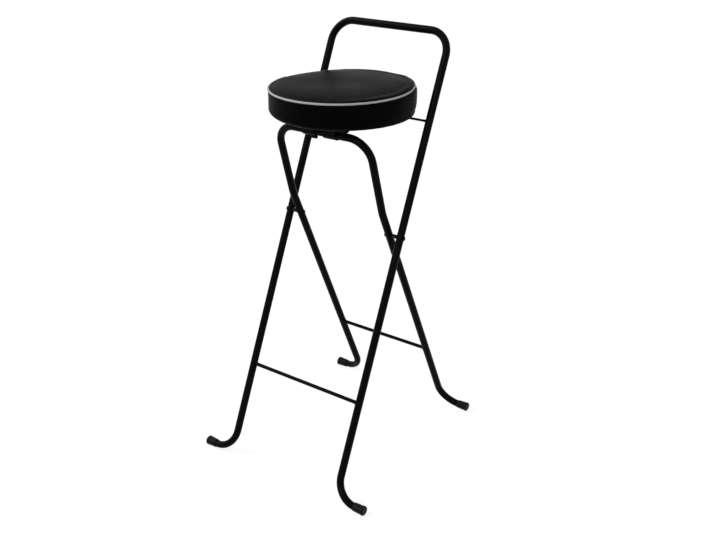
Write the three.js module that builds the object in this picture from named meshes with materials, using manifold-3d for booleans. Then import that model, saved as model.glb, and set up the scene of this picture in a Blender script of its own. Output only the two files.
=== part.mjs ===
// Folding bar stool: two bent tube frames crossed at a pivot, and a round padded seat hinged on one of them.
// Millimetres. +X is the sitter's left to right, +Y points to the handle side, +Z is up.
// The origin is on the floor, midway between the front and the rear feet.
import * as THREE from 'three';
import { mergeVertices } from 'three/addons/utils/BufferGeometryUtils.js';
import Module from 'manifold-3d';

// Stool as a whole. Each rise is measured up from what carries the piece.
const PIVOT_HEIGHT = 510.3;
const TOP_TUBE_RISE = 213.8;
const KNEE_RISE = 53.3;
const SEAT_BOARD_RISE = 26.5;
const REST_ROD_DROP = 22.7;
const HANDLE_RISE = 149.4;
const CLEARANCE = 0.3;
const OVERRUN = 4;

// Frame tube
const TUBE_DIAMETER = 16;
const TUBE_WALL = 1.2;
const TUBE_SIDES = 16;
const BORE_SIDES = 12;
const BEND_STEP_DEGREES = 11;

// Outer frame, with the handle at its top. It leans so far that it passes the rod at the rear of the seat.
const OUTER_SPACING = 288.6;
const HANDLE_BEND_RADIUS = 47;
const OUTER_FOOT_BEND_RADIUS = 48;
const OUTER_FOOT_REACH = 74;

// Inner frame, with its top tube under the seat. It stands inside the outer frame and narrows upwards.
const PIVOT_GAP = 11.6;
const INNER_TAPER_DEGREES = 0.466;
const INNER_LOWER_LEAN_DEGREES = 23.33;
const INNER_UPPER_LEAN_DEGREES = 14.58;
const INNER_KNEE_BEND_RADIUS = 60;
const INNER_TOP_BEND_RADIUS = 47;
const INNER_FOOT_BEND_RADIUS = 47;
const INNER_FOOT_REACH = 71;

// Rails welded across the frames
const FOOT_RAIL_HEIGHT = 193.1;
const FOOT_RAIL_DIAMETER = 8;
const REAR_BRACE_HEIGHT = 179.6;
const REAR_BRACE_DIAMETER = 8;
const REST_ROD_DIAMETER = 5;
const WELD_LEG = 2.2;
const RAIL_SIDES = 12;

// Foot caps
const CAP_AXIS_HEIGHT = 9.1;
const CAP_MOUTH_RADIUS = 9.1;
const CAP_END_RADIUS = 10.3;
const CAP_LENGTH = 26;
const CAP_END_THICKNESS = 4;
const CAP_ROUNDING = 2.6;
const CAP_SIDES = 20;
const CAP_ROUNDING_STEPS = 3;

// Pivot
const PIVOT_PIN_RADIUS = 3;
const PIVOT_HEAD_RADIUS = 5.2;
const PIVOT_HEAD_HEIGHT = 2.6;
const PIVOT_SPACER_RADIUS = 4.3;
const PIN_SIDES = 16;
const DOME_STEPS = 3;

// Seat cushion, a little wider than the outer frame
const SEAT_OVERHANG = 2;
const TOP_TUBE_INSET = 76.1;
const REST_ROD_INSET = 49.65;
const SEAT_SIDE_HEIGHT = 47.5;
const SEAT_CROWN = 8.6;
const CROWN_POWER = 3;
const SHOULDER_POWER = 0.5;
const PANEL_INSET = 1.3;
const SEAT_DRAWN_IN = 9;
const SEAT_DRAWN_IN_HEIGHT = 17.9;
const VINYL_THICKNESS = 1.2;
const PIPING_RADIUS = 2.1;
const PIPING_INSET = 0.6;
const HEM_WIDTH = 12.5;
const BOARD_INSET = 13.3;
const BOARD_THICKNESS = 9;
const SEAT_SIDES = 56;
const PIPING_SIDES = 8;
const CROWN_STEPS = 8;
const DRAWN_IN_STEPS = 4;

// Hinge bracket under the seat and the saddles that hold it on the top tube
const BRACKET_END_SETBACK = 5;
const BRACKET_SHEET = 2;
const BRACKET_TAB_REACH = 11;
const BRACKET_TAB_WIDTH = 26;
const BRACKET_TAB_OFFSET = 45;
const SADDLE_SHEET = 1.6;
const SADDLE_WIDTH = 32;
const SADDLE_OFFSET = 26;
const SADDLE_EDGE = 1;
const SADDLE_ARC_STEPS = 12;
const LUG_WIDTH = 16;
const LUG_THICKNESS = 3.2;
const LUG_DROP = 5.2;
const LUG_CORNER = 3;
const RIVET_RADIUS = 1.5;
const RIVET_HEAD_RADIUS = 2.2;
const RIVET_HEAD_HEIGHT = 1.4;

// Rear hooks, which rest on the rod
const HOOK_OFFSET = 40;
const HOOK_SHEET = 2;
const HOOK_HALF_DEPTH = 12;
const HOOK_FLANGE_WIDTH = 19;
const HOOK_LIP_DROP = 5;
const HOOK_LIP_WIDTH = 5;
const HOOK_LIP_RISE = 6;
const HOOK_SCREW_SPACING = 13;
const HOOK_ARC_STEPS = 4;

// Wood screws
const SCREW_RADIUS = 1.6;
const SCREW_HEAD_RADIUS = 3.9;
const SCREW_HEAD_HEIGHT = 2.1;
const SCREW_BITE = 7;
const SCREW_SIDES = 12;
const HOLE_CLEARANCE = 0.2;

const wasm = await Module();
wasm.setup();

const X_AXIS = new THREE.Vector3(1, 0, 0);
const Y_AXIS = new THREE.Vector3(0, 1, 0);
const RIGHT = 1;
const LEFT = -1;
const SIDES = [['left', LEFT], ['right', RIGHT]];
const ENDS = [['front', LEFT], ['rear', RIGHT]];
const QUARTER_TURN = Math.PI / 2;
const FULL_TURN = Math.PI * 2;

// Sizes worked out from the driving ones
const tubeRadius = TUBE_DIAMETER / 2;
const outerHalfWidth = OUTER_SPACING / 2;
const seatRadius = outerHalfWidth + SEAT_OVERHANG;
const boardRadius = seatRadius - BOARD_INSET;
const kneeHeight = PIVOT_HEIGHT + KNEE_RISE;
const topTubeHeight = PIVOT_HEIGHT + TOP_TUBE_RISE;
const boardHeight = topTubeHeight + SEAT_BOARD_RISE;
const rodHeight = boardHeight - REST_ROD_DROP;
const handleHeight = boardHeight + HANDLE_RISE - tubeRadius;
const innerLowerSlope = Math.tan(THREE.MathUtils.degToRad(INNER_LOWER_LEAN_DEGREES));
const innerUpperSlope = Math.tan(THREE.MathUtils.degToRad(INNER_UPPER_LEAN_DEGREES));
const innerTaper = Math.tan(THREE.MathUtils.degToRad(INNER_TAPER_DEGREES));
const kneeReach = KNEE_RISE * innerLowerSlope;
const topTubeReach = kneeReach + (topTubeHeight - kneeHeight) * innerUpperSlope;
const rodReach = seatRadius + seatRadius - TOP_TUBE_INSET - REST_ROD_INSET - topTubeReach;
const outerSlope = rodReach / (rodHeight - PIVOT_HEIGHT);
const pivotY = (PIVOT_HEIGHT - CAP_AXIS_HEIGHT) * (outerSlope - innerLowerSlope) / 2;
const kneeY = pivotY - kneeReach;
const topTubeY = pivotY - topTubeReach;
const rodY = pivotY + rodReach;
const seatY = rodY + REST_ROD_INSET - seatRadius;
const outerY = (z) => pivotY + (z - PIVOT_HEIGHT) * outerSlope;
const innerLowerY = (z) => pivotY - (z - PIVOT_HEIGHT) * innerLowerSlope;
const innerHalfWidth = (z) => outerHalfWidth - TUBE_DIAMETER - PIVOT_GAP - (z - PIVOT_HEIGHT) * innerTaper;
const bracketLength = 2 * (innerHalfWidth(topTubeHeight) - INNER_TOP_BEND_RADIUS - BRACKET_END_SETBACK);

// Materials, one for each finish
const paint = () => new THREE.MeshStandardMaterial({ color: 0x0c0c0d, roughness: 0.28, metalness: 0.35 });
const zinc = () => new THREE.MeshStandardMaterial({ color: 0x8d9094, roughness: 0.4, metalness: 0.9 });
const rubber = () => new THREE.MeshStandardMaterial({ color: 0x161617, roughness: 0.75, metalness: 0 });
const nylon = () => new THREE.MeshStandardMaterial({ color: 0x1a1a1b, roughness: 0.5, metalness: 0 });
const vinyl = () => new THREE.MeshStandardMaterial({ color: 0x17181a, roughness: 0.45, metalness: 0 });
const pipingVinyl = () => new THREE.MeshStandardMaterial({ color: 0xc9cbcd, roughness: 0.4, metalness: 0 });
const plywood = () => new THREE.MeshStandardMaterial({ color: 0xa98458, roughness: 0.7, metalness: 0 });
const foam = () => new THREE.MeshStandardMaterial({ color: 0xd8cfa8, roughness: 0.95, metalness: 0 });

const stool = new THREE.Group();

function addPiece(name, geometry, material) {
  const piece = new THREE.Mesh(geometry, material);
  piece.name = name;
  stool.add(piece);
}

// Booleans
function toSolid(geometry) {
  const bare = geometry.clone();
  bare.deleteAttribute('normal');
  bare.deleteAttribute('uv');
  const merged = mergeVertices(bare);
  const vertProperties = new Float32Array(merged.attributes.position.array);
  const triVerts = new Uint32Array(merged.index.array);
  return new wasm.Manifold(new wasm.Mesh({ numProp: 3, vertProperties, triVerts }));
}

function toGeometry(solid) {
  const mesh = solid.getMesh();
  const geometry = new THREE.BufferGeometry();
  geometry.setAttribute('position', new THREE.BufferAttribute(new Float32Array(mesh.vertProperties), 3));
  geometry.setIndex(new THREE.BufferAttribute(new Uint32Array(mesh.triVerts), 1));
  geometry.computeVertexNormals();
  return geometry;
}

function cut(geometry, cutters) {
  return toGeometry(cutters.reduce((body, cutter) => body.subtract(toSolid(cutter)), toSolid(geometry)));
}

function join(geometries) {
  const [first, ...others] = geometries.map(toSolid);
  return toGeometry(others.reduce((body, other) => body.add(other), first));
}

// A run of tube through straight stretches and round bends, with stations only where it bends or ends.
class BentPath extends THREE.Curve {
  constructor(stations) {
    super();
    this.stations = stations;
  }

  stationAt(share) {
    return this.stations[Math.round(share * (this.stations.length - 1))];
  }

  getPoint(share, target = new THREE.Vector3()) {
    return target.copy(this.stationAt(share).point);
  }

  getPointAt(share, target = new THREE.Vector3()) {
    return this.getPoint(share, target);
  }

  getTangentAt(share, target = new THREE.Vector3()) {
    return target.copy(this.stationAt(share).tangent);
  }
}

// Rounds each corner of a polyline to its own bend radius, as a tube bender does.
function bendTube(corners) {
  const stations = [];
  corners.forEach(({ at, radius }, i) => {
    const before = corners[i - 1];
    const after = corners[i + 1];
    if (!before || !after) {
      const tangent = before ? at.clone().sub(before.at) : after.at.clone().sub(at);
      stations.push({ point: at.clone(), tangent: tangent.normalize() });
      return;
    }
    const arriving = at.clone().sub(before.at).normalize();
    const leaving = after.at.clone().sub(at).normalize();
    const turn = arriving.angleTo(leaving);
    const setback = radius * Math.tan(turn / 2);
    const start = at.clone().addScaledVector(arriving, -setback);
    const axis = arriving.clone().cross(leaving).normalize();
    const inward = axis.clone().cross(arriving);
    const centre = start.clone().addScaledVector(inward, radius);
    const steps = Math.max(2, Math.ceil(THREE.MathUtils.radToDeg(turn) / BEND_STEP_DEGREES));
    for (let k = 0; k <= steps; k += 1) {
      const angle = turn * k / steps;
      const spoke = start.clone().sub(centre).applyAxisAngle(axis, angle);
      const tangent = arriving.clone().applyAxisAngle(axis, angle);
      stations.push({ point: centre.clone().add(spoke), tangent });
    }
  });
  return stations;
}

function circlePoints(radius, count) {
  return Array.from({ length: count }, (_, i) => {
    const angle = FULL_TURN * i / count;
    return new THREE.Vector2(radius * Math.cos(angle), radius * Math.sin(angle));
  });
}

function tubeAlong(stations) {
  const section = new THREE.Shape(circlePoints(tubeRadius, TUBE_SIDES));
  section.holes.push(new THREE.Path(circlePoints(tubeRadius - TUBE_WALL, BORE_SIDES)));
  const extrudePath = new BentPath(stations);
  return new THREE.ExtrudeGeometry(section, { steps: stations.length - 1, extrudePath, bevelEnabled: false });
}

// A turned piece: the profile is given as pairs of radius and distance along the axis.
function turned(profile, sides) {
  return new THREE.LatheGeometry(profile.map(([radius, along]) => new THREE.Vector2(radius, along)), sides);
}

// Lays a turned piece's axis along X, pointing to the given side.
function layAlongX(geometry, side) {
  return geometry.rotateZ(-side * QUARTER_TURN);
}

// Stands a turned piece's axis along Z.
function standUp(geometry) {
  return geometry.rotateX(QUARTER_TURN);
}

// A prism whose outline lies in the Y and Z directions, centred on x = 0.
function prismAcross(outline, width) {
  const shape = new THREE.Shape(outline.map(([y, z]) => new THREE.Vector2(y, z)));
  const prism = new THREE.ExtrudeGeometry(shape, { depth: width, bevelEnabled: false });
  prism.translate(0, 0, -width / 2);
  prism.rotateY(QUARTER_TURN);
  return prism.rotateX(QUARTER_TURN);
}

function rodCutter(radius, length, sides) {
  return new THREE.CylinderGeometry(radius, radius, length, sides);
}

function arcPairs(centreA, centreB, radiusA, radiusB, from, to, steps) {
  return Array.from({ length: steps + 1 }, (_, i) => {
    const angle = THREE.MathUtils.lerp(from, to, i / steps);
    return [centreA + radiusA * Math.cos(angle), centreB + radiusB * Math.sin(angle)];
  });
}

function roundPairs(centreA, centreB, radius, from, to, steps) {
  return arcPairs(centreA, centreB, radius, radius, from, to, steps);
}

// Frames. The corners run from the right foot over the top to the left foot.
function mirrored(corners) {
  const others = corners.map(({ at, radius }) => ({ at: new THREE.Vector3(-at.x, at.y, at.z), radius }));
  return [...corners, ...others.reverse()];
}

const tubeEndInset = CAP_END_THICKNESS + CLEARANCE;

function outerCorners() {
  const foot = new THREE.Vector3(outerHalfWidth, outerY(CAP_AXIS_HEIGHT), CAP_AXIS_HEIGHT);
  const tip = foot.clone().addScaledVector(X_AXIS, OUTER_FOOT_REACH - tubeEndInset);
  const top = new THREE.Vector3(outerHalfWidth, outerY(handleHeight), handleHeight);
  return mirrored([
    { at: tip },
    { at: foot, radius: OUTER_FOOT_BEND_RADIUS },
    { at: top, radius: HANDLE_BEND_RADIUS },
  ]);
}

function innerCorners() {
  const footX = innerHalfWidth(CAP_AXIS_HEIGHT);
  const foot = new THREE.Vector3(footX, innerLowerY(CAP_AXIS_HEIGHT), CAP_AXIS_HEIGHT);
  const tip = foot.clone().addScaledVector(X_AXIS, INNER_FOOT_REACH - tubeEndInset);
  const knee = new THREE.Vector3(innerHalfWidth(kneeHeight), kneeY, kneeHeight);
  const top = new THREE.Vector3(innerHalfWidth(topTubeHeight), topTubeY, topTubeHeight);
  return mirrored([
    { at: tip },
    { at: foot, radius: INNER_FOOT_BEND_RADIUS },
    { at: knee, radius: INNER_KNEE_BEND_RADIUS },
    { at: top, radius: INNER_TOP_BEND_RADIUS },
  ]);
}

function pivotHole() {
  const throughBoth = OUTER_SPACING + TUBE_DIAMETER + OVERRUN;
  const hole = rodCutter(PIVOT_PIN_RADIUS + HOLE_CLEARANCE, throughBoth, PIN_SIDES);
  return hole.rotateZ(QUARTER_TURN).translate(0, pivotY, PIVOT_HEIGHT);
}

function makeFrames() {
  addPiece('outer_frame', cut(tubeAlong(bendTube(outerCorners())), [pivotHole()]), paint());
  addPiece('inner_frame', cut(tubeAlong(bendTube(innerCorners())), [pivotHole()]), paint());
}

// A rail with a small weld at each end, its ends coped to the round of the legs.
function weldedRail(radius, y, z, halfSpan, legDirections) {
  const wallAt = halfSpan - tubeRadius - CLEARANCE;
  const profile = [
    [0, -halfSpan],
    [radius + WELD_LEG, -halfSpan],
    [radius + WELD_LEG, -wallAt],
    [radius, WELD_LEG - wallAt],
    [radius, wallAt - WELD_LEG],
    [radius + WELD_LEG, wallAt],
    [radius + WELD_LEG, halfSpan],
    [0, halfSpan],
  ];
  const rail = layAlongX(turned(profile, RAIL_SIDES), RIGHT).translate(0, y, z);
  const cutters = legDirections.map((direction, i) => {
    const leg = rodCutter(tubeRadius + CLEARANCE, (halfSpan + OVERRUN), TUBE_SIDES + TUBE_SIDES);
    leg.applyQuaternion(new THREE.Quaternion().setFromUnitVectors(Y_AXIS, direction));
    return leg.translate(i === 0 ? -halfSpan : halfSpan, y, z);
  });
  return cut(rail, cutters);
}

function makeRails() {
  const outerLeg = new THREE.Vector3(0, outerSlope, 1).normalize();
  const outerLegs = [outerLeg, outerLeg];
  const railY = outerY(FOOT_RAIL_HEIGHT);
  const footRail = weldedRail(FOOT_RAIL_DIAMETER / 2, railY, FOOT_RAIL_HEIGHT, outerHalfWidth, outerLegs);
  const restRod = weldedRail(REST_ROD_DIAMETER / 2, rodY, rodHeight, outerHalfWidth, outerLegs);
  addPiece('foot_rail', footRail, paint());
  addPiece('seat_rest_rod', restRod, paint());
  const innerLegs = SIDES.map(([, side]) => {
    const [, foot, knee] = innerCorners();
    const leg = knee.at.clone().sub(foot.at);
    leg.x *= side;
    return leg.normalize();
  });
  const braceHalf = innerHalfWidth(REAR_BRACE_HEIGHT);
  const braceY = innerLowerY(REAR_BRACE_HEIGHT);
  const rearBrace = weldedRail(REAR_BRACE_DIAMETER / 2, braceY, REAR_BRACE_HEIGHT, braceHalf, innerLegs);
  addPiece('rear_brace', rearBrace, paint());
}

// A cap that widens toward its rounded end, with a bore for the tube and a sole cut flat by the floor.
function footCap(x, y, side) {
  const bore = tubeRadius + CLEARANCE;
  const floorOfBore = CAP_LENGTH - CAP_END_THICKNESS;
  const roundingFrom = CAP_LENGTH - CAP_ROUNDING;
  const centre = CAP_END_RADIUS - CAP_ROUNDING;
  const rounding = roundPairs(centre, roundingFrom, CAP_ROUNDING, 0, QUARTER_TURN, CAP_ROUNDING_STEPS);
  const profile = [
    [0, floorOfBore],
    [bore, floorOfBore],
    [bore, 0],
    [CAP_MOUTH_RADIUS, 0],
    ...rounding,
    [0, CAP_LENGTH],
  ];
  const cap = layAlongX(turned(profile, CAP_SIDES), side);
  cap.translate(side * (x - CAP_LENGTH), y, CAP_AXIS_HEIGHT);
  const floor = new THREE.BoxGeometry(CAP_LENGTH + OVERRUN, CAP_LENGTH, CAP_LENGTH);
  floor.translate(side * (x - CAP_LENGTH / 2), y, -CAP_LENGTH / 2);
  return cut(cap, [floor]);
}

function makeFootCaps() {
  const outerReach = outerHalfWidth + OUTER_FOOT_REACH;
  const innerReach = innerHalfWidth(CAP_AXIS_HEIGHT) + INNER_FOOT_REACH;
  SIDES.forEach(([word, side]) => {
    addPiece(`outer_foot_cap_${word}`, footCap(outerReach, outerY(CAP_AXIS_HEIGHT), side), rubber());
    addPiece(`inner_foot_cap_${word}`, footCap(innerReach, innerLowerY(CAP_AXIS_HEIGHT), side), rubber());
  });
}

// A pin with a domed head at each end. The grip is the length between the heads.
function headedPin(radius, [headRadius, headHeight], gripFrom, gripTo, sides) {
  const lowHead = arcPairs(0, gripFrom, headRadius, headHeight, -QUARTER_TURN, 0, DOME_STEPS).slice(1);
  const highHead = arcPairs(0, gripTo, headRadius, headHeight, 0, QUARTER_TURN, DOME_STEPS).slice(0, -1);
  const profile = [
    [0, gripFrom - headHeight],
    ...lowHead,
    [radius, gripFrom],
    [radius, gripTo],
    ...highHead,
    [0, gripTo + headHeight],
  ];
  return turned(profile, sides);
}

function makePivots() {
  const innerFace = innerHalfWidth(PIVOT_HEIGHT) - tubeRadius - CLEARANCE;
  const outerFace = outerHalfWidth + tubeRadius + CLEARANCE;
  const spacerFrom = innerHalfWidth(PIVOT_HEIGHT) + tubeRadius + CLEARANCE;
  const spacerTo = outerHalfWidth - tubeRadius - CLEARANCE;
  const spacerBore = PIVOT_PIN_RADIUS + HOLE_CLEARANCE;
  const ring = [
    [spacerBore, spacerFrom],
    [PIVOT_SPACER_RADIUS, spacerFrom],
    [PIVOT_SPACER_RADIUS, spacerTo],
    [spacerBore, spacerTo],
    [spacerBore, spacerFrom],
  ];
  const head = [PIVOT_HEAD_RADIUS, PIVOT_HEAD_HEIGHT];
  SIDES.forEach(([word, side]) => {
    const pin = headedPin(PIVOT_PIN_RADIUS, head, innerFace, outerFace, PIN_SIDES);
    const spacer = turned(ring, PIN_SIDES);
    addPiece(`pivot_pin_${word}`, layAlongX(pin, side).translate(0, pivotY, PIVOT_HEIGHT), paint());
    addPiece(`pivot_spacer_${word}`, layAlongX(spacer, side).translate(0, pivotY, PIVOT_HEIGHT), nylon());
  });
}

// Cushion. Heights are from the underside of the board.
const sideBottom = VINYL_THICKNESS + CLEARANCE;
const seamHeight = SEAT_SIDE_HEIGHT + PIPING_RADIUS + CLEARANCE;
const panelHeight = seamHeight + PIPING_RADIUS + CLEARANCE;
const pipingCentreRadius = seatRadius - PIPING_INSET;

// A crowned top with a round shoulder: it falls slowly from the middle and turns down at its edge.
function crownPairs(setIn, edgeRadius) {
  const rise = SEAT_CROWN - setIn;
  return Array.from({ length: CROWN_STEPS + 1 }, (_, i) => {
    const share = Math.sin(QUARTER_TURN * i / CROWN_STEPS);
    return [edgeRadius * share, panelHeight + rise * (1 - share ** CROWN_POWER) ** SHOULDER_POWER];
  });
}

// The side from the seam down to the drawn-in lower edge, set in by the given thickness.
function sidePairs(setIn) {
  const centreRadius = seatRadius - SEAT_DRAWN_IN;
  const centreHeight = SEAT_DRAWN_IN_HEIGHT - sideBottom;
  const reach = SEAT_DRAWN_IN - setIn;
  const drop = SEAT_DRAWN_IN_HEIGHT - setIn;
  const edge = arcPairs(centreRadius, centreHeight, reach, drop, 0, -QUARTER_TURN, DRAWN_IN_STEPS);
  return [[seatRadius - setIn, SEAT_SIDE_HEIGHT], ...edge];
}

function seatPiece(profile) {
  return standUp(turned(profile, SEAT_SIDES)).translate(0, seatY, boardHeight);
}

function makeCushion() {
  const outside = sidePairs(0);
  const inside = sidePairs(VINYL_THICKNESS).reverse();
  const hemRadius = boardRadius - HEM_WIDTH;
  const hem = [[hemRadius, -sideBottom], [hemRadius, -CLEARANCE]];
  const band = [...outside, ...hem, ...inside, outside[0]].reverse();
  addPiece('seat_side_band', seatPiece(band), vinyl());

  const panelEdge = seatRadius - PANEL_INSET;
  const panelTop = crownPairs(0, panelEdge).reverse();
  const panelUnder = crownPairs(VINYL_THICKNESS, panelEdge - VINYL_THICKNESS);
  addPiece('seat_top_panel', seatPiece([...panelUnder, ...panelTop]), vinyl());

  const piping = roundPairs(pipingCentreRadius, seamHeight, PIPING_RADIUS, 0, FULL_TURN, PIPING_SIDES);
  addPiece('seat_piping', seatPiece(piping), pipingVinyl());

  const skin = VINYL_THICKNESS + CLEARANCE;
  const neck = pipingCentreRadius - PIPING_RADIUS - CLEARANCE;
  const foamTop = crownPairs(skin, neck);
  const foamSide = sidePairs(skin);
  const recess = boardRadius + CLEARANCE;
  const onBoard = BOARD_THICKNESS + CLEARANCE;
  const underneath = [[recess, 0], [recess, onBoard], [0, onBoard]];
  const foamProfile = [...foamTop, [neck, SEAT_SIDE_HEIGHT], ...foamSide, ...underneath].reverse();
  addPiece('seat_foam', seatPiece(foamProfile), foam());
}

// Places of the screws that go up into the board, as x and y
function bracketScrewPlaces() {
  const reach = tubeRadius + BRACKET_TAB_REACH / 2;
  return SIDES.flatMap(([word, side]) => ENDS.map(([end, way]) => (
    { name: `bracket_screw_${word}_${end}`, x: side * BRACKET_TAB_OFFSET, y: topTubeY + way * reach }
  )));
}

function hookScrewPlaces() {
  const x = HOOK_OFFSET - HOOK_FLANGE_WIDTH / 2;
  return SIDES.flatMap(([word, side]) => ENDS.map(([end, way]) => (
    { name: `hook_screw_${word}_${end}`, x: side * x, y: rodY + way * HOOK_SCREW_SPACING / 2 }
  )));
}

function screwHole({ x, y }, depth) {
  const hole = standUp(rodCutter(SCREW_RADIUS + HOLE_CLEARANCE, depth + depth, SCREW_SIDES));
  return hole.translate(x, y, boardHeight);
}

function makeBoard() {
  const profile = [[0, 0], [boardRadius, 0], [boardRadius, BOARD_THICKNESS], [0, BOARD_THICKNESS]];
  const depth = SCREW_BITE + CLEARANCE;
  const holes = [...bracketScrewPlaces(), ...hookScrewPlaces()].map((place) => screwHole(place, depth));
  addPiece('seat_board', cut(seatPiece(profile), holes), plywood());
}

// Screws stand in the board with their heads under the sheet.
function makeScrews(places, sheet) {
  const sheetUnder = -sheet - CLEARANCE - CLEARANCE;
  const dome = arcPairs(0, sheetUnder, SCREW_HEAD_RADIUS, SCREW_HEAD_HEIGHT, -QUARTER_TURN, 0, DOME_STEPS);
  const profile = [
    [0, sheetUnder - SCREW_HEAD_HEIGHT],
    ...dome.slice(1),
    [SCREW_RADIUS, sheetUnder],
    [SCREW_RADIUS, SCREW_BITE - SCREW_RADIUS],
    [0, SCREW_BITE],
  ];
  places.forEach(({ name, x, y }) => {
    const screw = standUp(turned(profile, SCREW_SIDES)).translate(x, y, boardHeight);
    addPiece(name, screw, zinc());
  });
}

// Hinge bracket: a channel as deep as the top tube that it lies on, with four tabs screwed to the board.
const crownUnder = tubeRadius + CLEARANCE;
const crownTop = crownUnder + BRACKET_SHEET;
const tabTop = SEAT_BOARD_RISE - CLEARANCE;
const strapInside = tubeRadius + CLEARANCE;
const strapOutside = strapInside + SADDLE_SHEET;
const rivetRise = crownTop + CLEARANCE + RIVET_HEAD_RADIUS;
const strapTop = rivetRise + RIVET_HEAD_RADIUS + SADDLE_EDGE;

function rivetPlaces() {
  return SIDES.flatMap(([word, side]) => ENDS.map(([end, way]) => (
    { name: `saddle_rivet_${word}_${end}`, x: side * SADDLE_OFFSET, way }
  )));
}

function rivetHoles() {
  return rivetPlaces().map(({ x, way }) => {
    const hole = rodCutter(RIVET_RADIUS + HOLE_CLEARANCE, OVERRUN + OVERRUN, SCREW_SIDES);
    return hole.translate(x, topTubeY + way * tubeRadius, topTubeHeight + rivetRise);
  });
}

function hingeBracket() {
  const half = tubeRadius;
  const wall = half - BRACKET_SHEET;
  const channel = prismAcross([
    [-half, crownUnder],
    [half, crownUnder],
    [half, tabTop],
    [wall, tabTop],
    [wall, crownTop],
    [-wall, crownTop],
    [-wall, tabTop],
    [-half, tabTop],
  ], bracketLength);
  const tabs = SIDES.flatMap(([, side]) => ENDS.map(([, way]) => {
    const tab = new THREE.BoxGeometry(BRACKET_TAB_WIDTH, BRACKET_TAB_REACH + BRACKET_SHEET, BRACKET_SHEET);
    const reach = half + (BRACKET_TAB_REACH - BRACKET_SHEET) / 2;
    return tab.translate(side * BRACKET_TAB_OFFSET, way * reach, tabTop - BRACKET_SHEET / 2);
  }));
  const body = join([channel, ...tabs]).translate(0, topTubeY, topTubeHeight);
  const screwHoles = bracketScrewPlaces().map((place) => screwHole(place, BRACKET_SHEET + OVERRUN));
  return cut(body, [...screwHoles, ...rivetHoles()]);
}

// A lug that hangs under a strap, with its lower corners cut off.
function strapLug() {
  const half = LUG_WIDTH / 2;
  const top = -strapInside - SADDLE_SHEET / 2;
  const low = -strapOutside - LUG_DROP;
  const outline = [
    [-half, top],
    [-half, low + LUG_CORNER],
    [LUG_CORNER - half, low],
    [half - LUG_CORNER, low],
    [half, low + LUG_CORNER],
    [half, top],
  ];
  const shape = new THREE.Shape(outline.map(([x, z]) => new THREE.Vector2(x, z)));
  const lug = new THREE.ExtrudeGeometry(shape, { depth: LUG_THICKNESS, bevelEnabled: false });
  return standUp(lug.translate(0, 0, -LUG_THICKNESS / 2));
}

// A strap bent round the top tube from below, with its arms riveted to the walls of the bracket.
// The left one has a lug at its end nearer the middle.
function hingeSaddle(side) {
  const strap = prismAcross([
    [-strapOutside, strapTop],
    ...roundPairs(0, 0, strapOutside, -QUARTER_TURN - QUARTER_TURN, 0, SADDLE_ARC_STEPS),
    [strapOutside, strapTop],
    [strapInside, strapTop],
    ...roundPairs(0, 0, strapInside, 0, -QUARTER_TURN - QUARTER_TURN, SADDLE_ARC_STEPS),
    [-strapInside, strapTop],
  ], SADDLE_WIDTH);
  const lug = strapLug().translate((SADDLE_WIDTH - LUG_WIDTH) / 2, 0, 0);
  const body = side === LEFT ? join([strap, lug]) : strap;
  return cut(body.translate(side * SADDLE_OFFSET, topTubeY, topTubeHeight), rivetHoles());
}

function makeHinge() {
  addPiece('hinge_bracket', hingeBracket(), paint());
  SIDES.forEach(([word, side]) => addPiece(`hinge_saddle_${word}`, hingeSaddle(side), paint()));
  const gripFrom = tubeRadius - BRACKET_SHEET - HOLE_CLEARANCE;
  const gripTo = strapOutside + HOLE_CLEARANCE;
  const head = [RIVET_HEAD_RADIUS, RIVET_HEAD_HEIGHT];
  rivetPlaces().forEach(({ name, x, way }) => {
    const rivet = headedPin(RIVET_RADIUS, head, gripFrom, gripTo, SCREW_SIDES);
    rivet.rotateX(QUARTER_TURN * (RIGHT - way)).translate(x, topTubeY, topTubeHeight + rivetRise);
    addPiece(name, rivet, zinc());
  });
}

// Rear hooks: the notch sits over the rod, and the lip behind it keeps the frames from spreading.
function rearHook(side) {
  const notch = REST_ROD_DIAMETER / 2 + CLEARANCE;
  const top = REST_ROD_DROP - CLEARANCE;
  const depth = HOOK_HALF_DEPTH;
  const plate = prismAcross([
    [-depth, top],
    [-depth, notch],
    ...roundPairs(0, 0, notch, QUARTER_TURN, 0, HOOK_ARC_STEPS),
    [notch, -HOOK_LIP_DROP],
    [notch + HOOK_LIP_WIDTH, -HOOK_LIP_DROP],
    [depth, HOOK_LIP_RISE],
    [depth, top],
  ], HOOK_SHEET);
  const flange = new THREE.BoxGeometry(HOOK_FLANGE_WIDTH, depth + depth, HOOK_SHEET);
  flange.translate(side * (HOOK_SHEET - HOOK_FLANGE_WIDTH) / 2, 0, top - HOOK_SHEET / 2);
  const body = join([plate, flange]).translate(side * HOOK_OFFSET, rodY, rodHeight);
  return cut(body, hookScrewPlaces().map((place) => screwHole(place, HOOK_SHEET + OVERRUN)));
}

makeFrames();
makeRails();
makeFootCaps();
makePivots();
makeHinge();
SIDES.forEach(([word, side]) => addPiece(`rear_hook_${word}`, rearHook(side), paint()));
makeScrews(bracketScrewPlaces(), BRACKET_SHEET);
makeScrews(hookScrewPlaces(), HOOK_SHEET);
makeBoard();
makeCushion();

export default stool;
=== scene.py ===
"""Looks of the folding bar stool over the CAD frame: painted tubes, welds, rubber feet and a padded seat.

Sizes are in millimetres, apart from the camera's and the stage's, and become metres where a mesh is made."""

import math
import random

import bmesh
import bpy
import numpy as np
from mathutils import Matrix, Vector


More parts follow.
